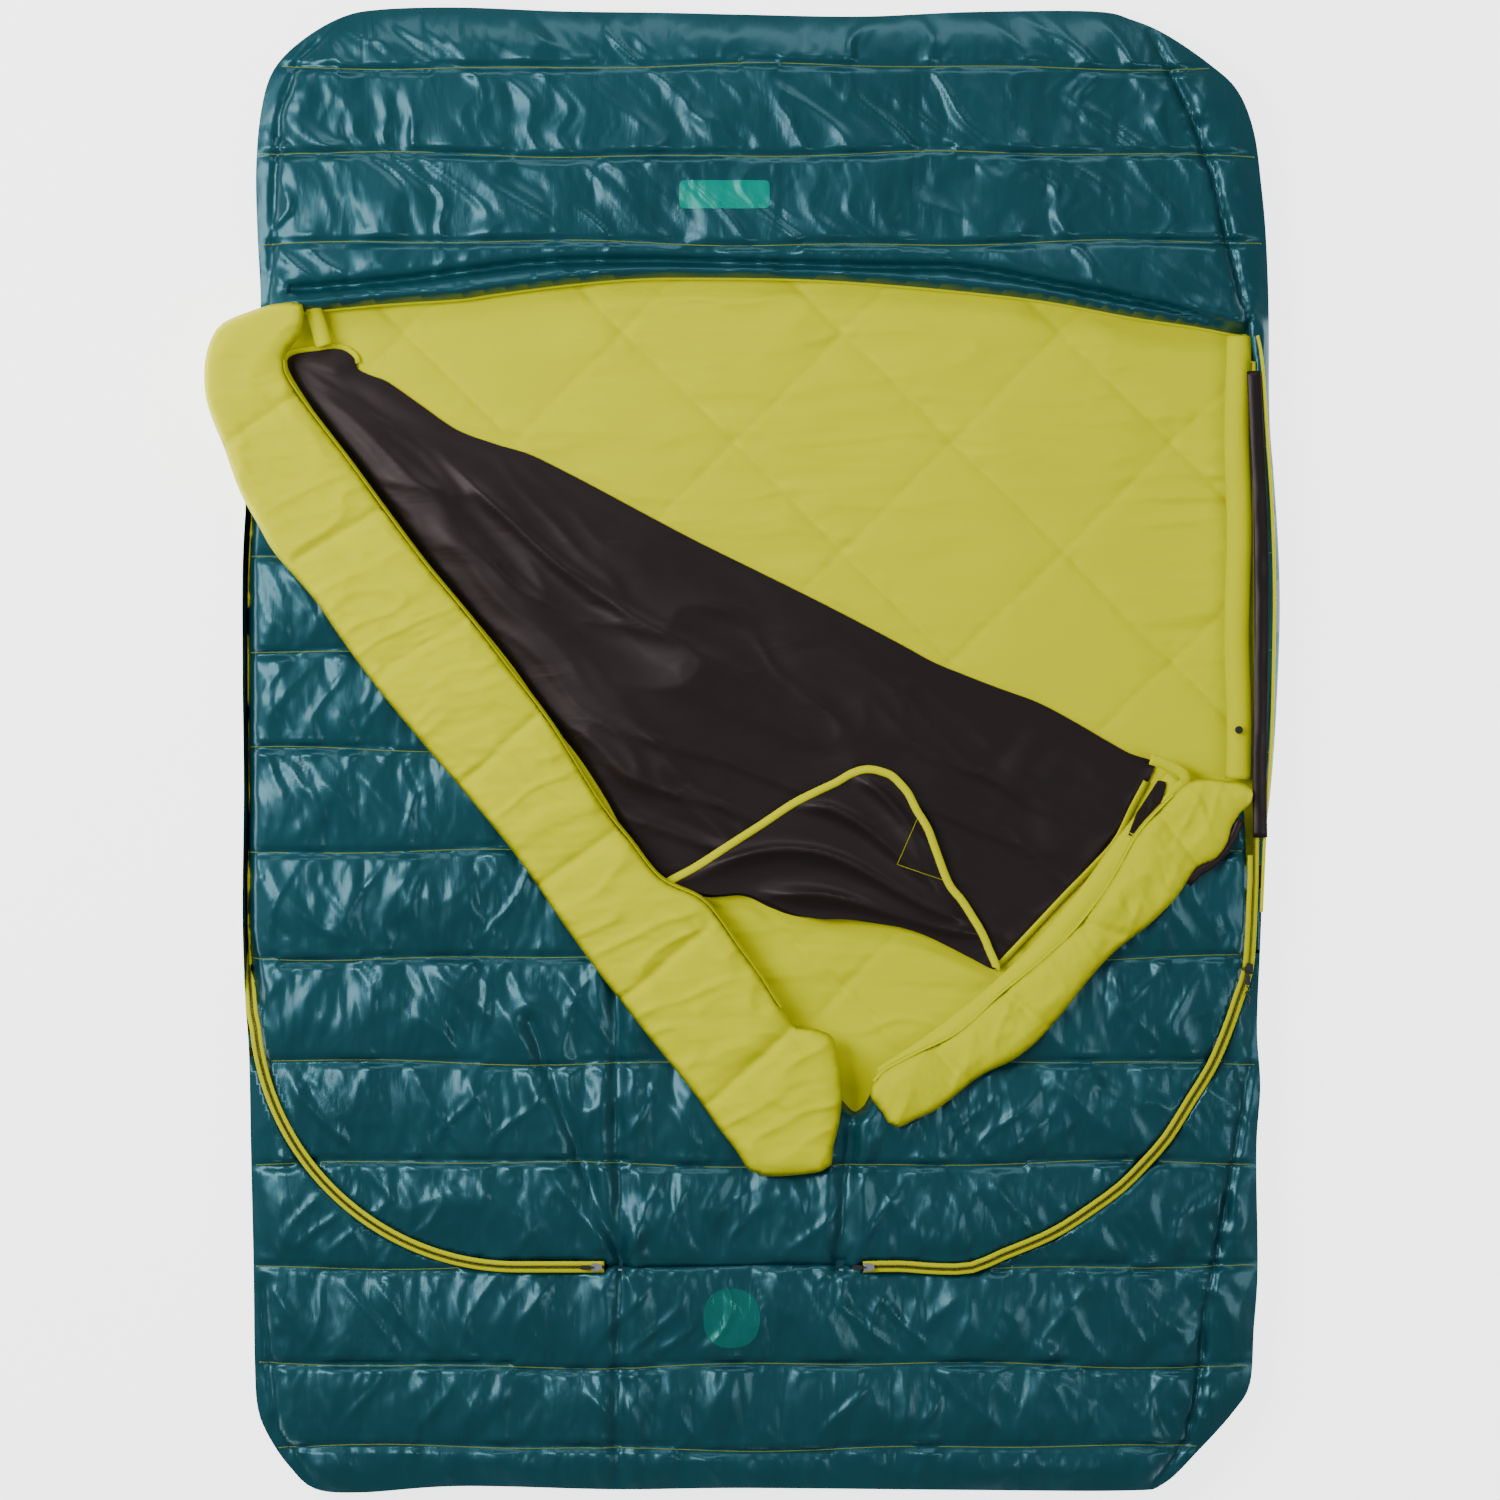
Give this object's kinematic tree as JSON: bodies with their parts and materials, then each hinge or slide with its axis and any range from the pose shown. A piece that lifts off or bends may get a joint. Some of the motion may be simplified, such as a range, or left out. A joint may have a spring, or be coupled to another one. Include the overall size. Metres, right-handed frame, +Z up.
{
  "type": "two-person quilted sleeping bag",
  "caption": "Hooded two-person quilted sleeping bag laid flat, its zip-off top quilt turned back over a diamond-quilted lining and a folded built-in sheet.",
  "frame": {"origin": "middle of the whole part's footprint, on the ground", "axes": "+Y towards the head end, +X towards the side with the open zip, +Z up"},
  "size_m": [1.6633, 2.294, 0.1078],
  "materials": {
    "shell_fabric": "glossy coated teal nylon",
    "lining_fabric": "soft lime taffeta",
    "batting": "loose synthetic fill, hidden",
    "sheet_satin": "dark brown satin weave",
    "zip_tape": "lime woven tape",
    "zip_coil": "olive-lime nylon coil",
    "slider_metal": "dark grey metal",
    "cord_black": "black",
    "patch_print": "printed teal-green patch, plain"
  },
  "bodies": {
    "base": {"base_shell": "shell_fabric", "base_insulation": "batting", "base_liner": "lining_fabric", "left_gusset": "shell_fabric", "right_gusset": "shell_fabric", "head_gusset": "shell_fabric", "foot_gusset": "shell_fabric", "footbox_shell": "shell_fabric", "footbox_insulation": "batting", "footbox_liner": "lining_fabric", "right_side_panel": "shell_fabric", "hood_shell": "shell_fabric", "hood_insulation": "batting", "hood_liner": "lining_fabric", "hood_hem_tube": "shell_fabric", "left_draft_tube": "lining_fabric", "right_draft_tube": "lining_fabric", "right_zip_facing": "sheet_satin", "right_piping": "zip_tape", "snap_socket": "cord_black", "left_outer_tape": "zip_tape", "left_outer_coil": "zip_coil", "left_zip_stop": "slider_metal", "right_outer_tape": "zip_tape", "right_outer_coil": "zip_coil", "right_zip_stop": "slider_metal", "sheet_lower": "sheet_satin", "sheet_loop": "lining_fabric", "hood_label": "patch_print", "foot_label": "patch_print"},
    "top_quilt": {"quilt_shell": "shell_fabric", "quilt_insulation": "batting", "quilt_liner": "lining_fabric", "left_inner_tape": "zip_tape", "left_inner_coil": "zip_coil", "right_inner_tape": "zip_tape", "right_inner_coil": "zip_coil", "right_open_tape": "zip_tape"},
    "left_turnback": {"left_fold_shell": "shell_fabric", "left_fold_insulation": "batting", "left_fold_liner": "lining_fabric"},
    "right_turnback": {"right_fold_shell": "shell_fabric", "right_fold_insulation": "batting", "right_fold_liner": "lining_fabric"},
    "sheet": {"sheet_upper": "sheet_satin", "sheet_left_binding": "zip_tape", "sheet_right_binding": "zip_tape"},
    "sheet_corner": {"sheet_corner": "sheet_satin", "corner_binding": "zip_tape", "corner_patch": "sheet_satin"},
    "left_slider": {"left_foot_slider": "slider_metal"},
    "right_slider": {"right_foot_slider": "slider_metal"},
    "side_slider": {"side_slider_body": "slider_metal"},
    "left_pull": {"left_foot_pull": "slider_metal"},
    "right_pull": {"right_foot_pull": "slider_metal"},
    "side_pull": {"side_slider_pull": "slider_metal", "side_pull_cord": "cord_black"}
  },
  "joints": [
    {"name": "quilt_foot_hinge", "type": "hinge", "parent": "base", "child": "top_quilt", "pos_m": [0, -0.8105, 0.085], "axis": [1, 0, 0], "range_deg": [0, 150]},
    {"name": "left_fold", "type": "hinge", "parent": "top_quilt", "child": "left_turnback", "pos_m": [-0.72, 0.6, 0.0829], "axis": [0.6107, -0.7919, 0], "range_deg": [-110, 0]},
    {"name": "right_fold", "type": "hinge", "parent": "top_quilt", "child": "right_turnback", "pos_m": [0.682, -0.051, 0.0829], "axis": [-0.7133, -0.7008, 0], "range_deg": [0, 140]},
    {"name": "sheet_fold", "type": "hinge", "parent": "base", "child": "sheet", "pos_m": [-0.70469, 0.59161, 0.0381], "axis": [0.9094, -0.416, 0], "range_deg": [-155, 0]},
    {"name": "sheet_corner_fold", "type": "hinge", "parent": "sheet", "child": "sheet_corner", "pos_m": [0.384, -0.332, 0.0384], "axis": [0.9592, -0.2828, 0], "range_deg": [0, 125]},
    {"name": "left_foot_slider_run", "type": "slide", "parent": "base", "child": "left_slider", "axis": [-1, 0, 0], "range_m": [0, 0.1]},
    {"name": "right_foot_slider_run", "type": "slide", "parent": "base", "child": "right_slider", "axis": [1, 0, 0], "range_m": [0, 0.05]},
    {"name": "side_slider_run", "type": "hinge", "parent": "base", "child": "side_slider", "pos_m": [0.254, -0.268, 0.0839], "axis": [0, 0, 1], "range_deg": [-65, 6]},
    {"name": "left_pull_pivot", "type": "hinge", "parent": "left_slider", "child": "left_pull", "pos_m": [-0.2328, -0.798, 0.0922], "axis": [0, 1, 0], "range_deg": [0, 160]},
    {"name": "right_pull_pivot", "type": "hinge", "parent": "right_slider", "child": "right_pull", "pos_m": [0.1872, -0.798, 0.0922], "axis": [0, 1, 0], "range_deg": [0, 160]},
    {"name": "side_pull_pivot", "type": "hinge", "parent": "side_slider", "child": "side_pull", "pos_m": [0.77871, -0.34293, 0.0922], "axis": [-0.9914, 0.1305, 0], "range_deg": [0, 160]}
  ]
}
